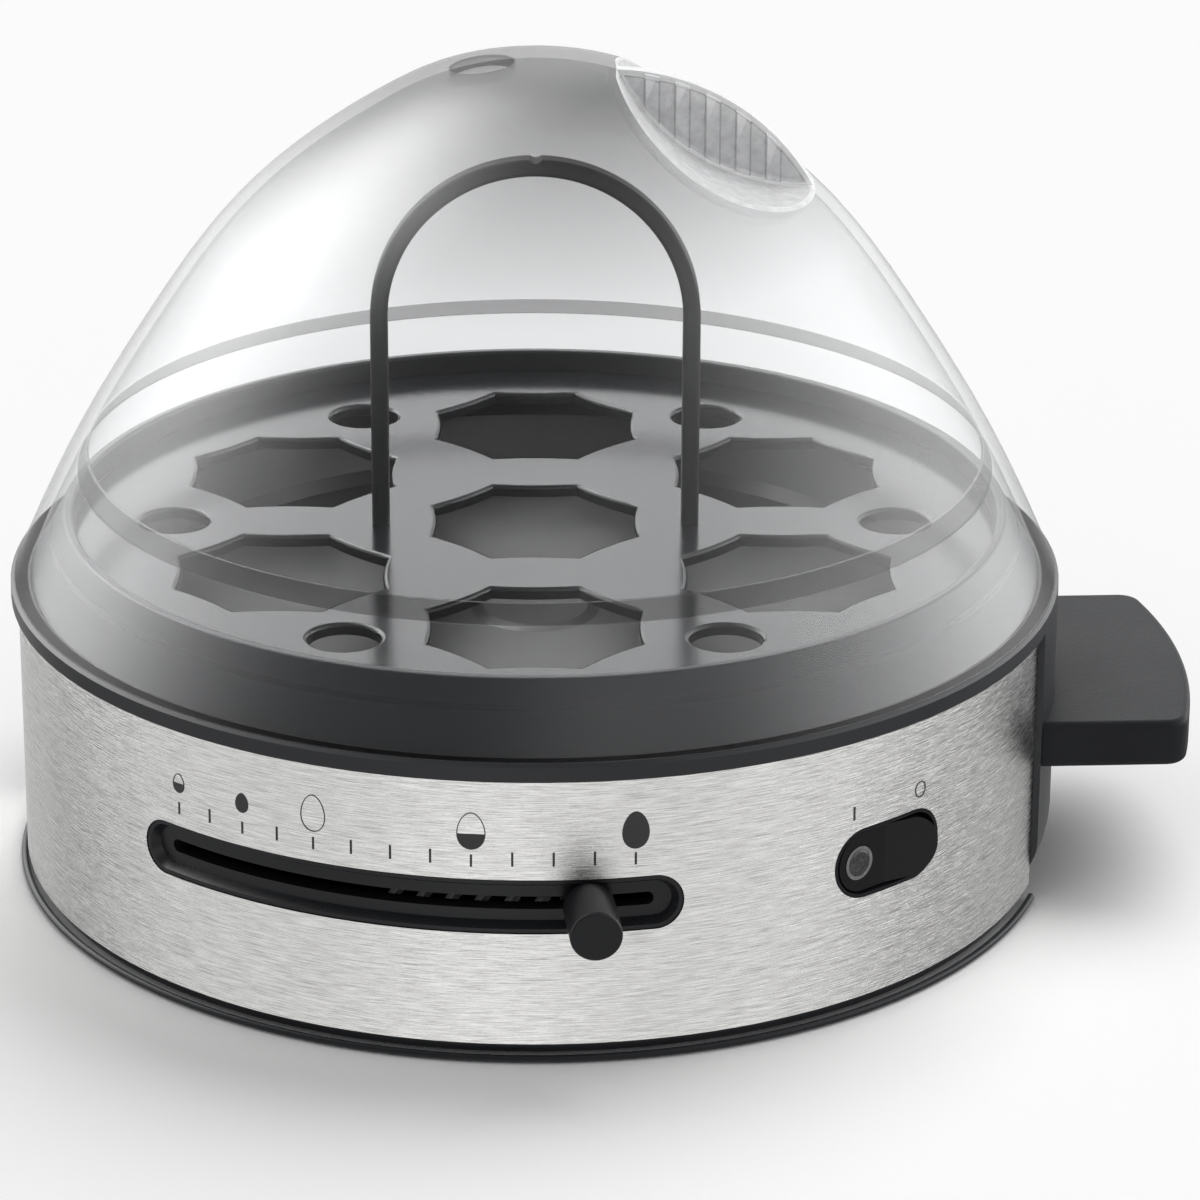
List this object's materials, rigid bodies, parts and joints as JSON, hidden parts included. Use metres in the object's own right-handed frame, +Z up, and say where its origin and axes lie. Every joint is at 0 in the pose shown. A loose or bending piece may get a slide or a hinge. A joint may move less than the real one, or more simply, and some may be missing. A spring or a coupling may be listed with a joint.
{
  "type": "egg boiler",
  "caption": "Table-top electric egg boiler: round base with a steel front, slider and rocker switch, side handle, lift-out egg tray with arch, and clear domed lid.",
  "frame": {"origin": "on the table, on the upright centre line of the round base", "axes": "+Z up; -Y through the middle of the slider slot at the front; +X to the right as the front is faced, where the handle stands"},
  "size_m": [0.2031, 0.1883, 0.1409],
  "materials": {
    "black_plastic": "satin black moulding",
    "tray_plastic": "satin dark moulding",
    "handle_plastic": "fine matt black moulding",
    "knob_plastic": "satin black",
    "gloss_black": "gloss black",
    "brushed_steel": "brushed along its length",
    "clear_plastic": "clear, polished",
    "pan_metal": "grey coated",
    "silicone": "soft ring",
    "soft_rubber": "soft pad",
    "wire_insulation": "sleeved wire",
    "lens_plastic": "tinted lamp lens",
    "bright_ring": "bright",
    "element_metal": "drawn tube",
    "plated_steel": "zinc plated",
    "brass": "plain",
    "ceramic": "off-white insulator",
    "printed_ink": "dark print on the steel",
    "inner_plastic": "plain dark moulding"
  },
  "bodies": {
    "base": {"housing": "black_plastic", "steel_band": "brushed_steel", "slot_channel": "black_plastic", "switch_frame": "black_plastic", "switch_body": "inner_plastic", "switch_blades": "brass", "bottom_cover": "black_plastic", "cover_screws": "plated_steel", "rubber_feet": "soft_rubber", "heating_pan": "pan_metal", "pan_seal": "silicone", "heating_element": "element_metal", "element_terminals": "plated_steel", "pan_studs": "plated_steel", "stud_nuts": "plated_steel", "regulator_bracket": "plated_steel", "bracket_screws": "plated_steel", "regulator_body": "ceramic", "regulator_nut": "brass", "thermal_cutout": "element_metal", "cutout_clip": "plated_steel", "buzzer": "inner_plastic", "terminal_block": "ceramic", "cable_gland": "black_plastic", "gland_nut": "black_plastic", "side_handle": "handle_plastic", "handle_plate": "plated_steel", "handle_screws": "plated_steel", "internal_leads": "wire_insulation"},
    "slider": {"slider_knob": "knob_plastic", "slider_lever": "inner_plastic", "regulator_spindle": "brass"},
    "rocker": {"rocker": "gloss_black", "indicator_lens": "lens_plastic", "lens_ring": "bright_ring"},
    "tray": {"egg_tray": "tray_plastic", "tray_handle": "tray_plastic"},
    "lid": {"lid_dome": "clear_plastic"}
  },
  "joints": [
    {"name": "slider_travel", "type": "hinge", "parent": "base", "child": "slider", "pos_m": [0, 0, 0.0272], "axis": [0, 0, 1], "range_deg": [-46.4, 5.4]},
    {"name": "rocker_tilt", "type": "hinge", "parent": "base", "child": "rocker", "pos_m": [0.06923, -0.04776, 0.027], "axis": [0, 0, 1], "range_deg": [0, 12]},
    {"name": "tray_lift", "type": "slide", "parent": "base", "child": "tray", "axis": [0, 0, 1], "range_m": [0, 0.08]},
    {"name": "lid_lift", "type": "slide", "parent": "tray", "child": "lid", "axis": [0, 0, 1], "range_m": [0, 0.09]}
  ]
}
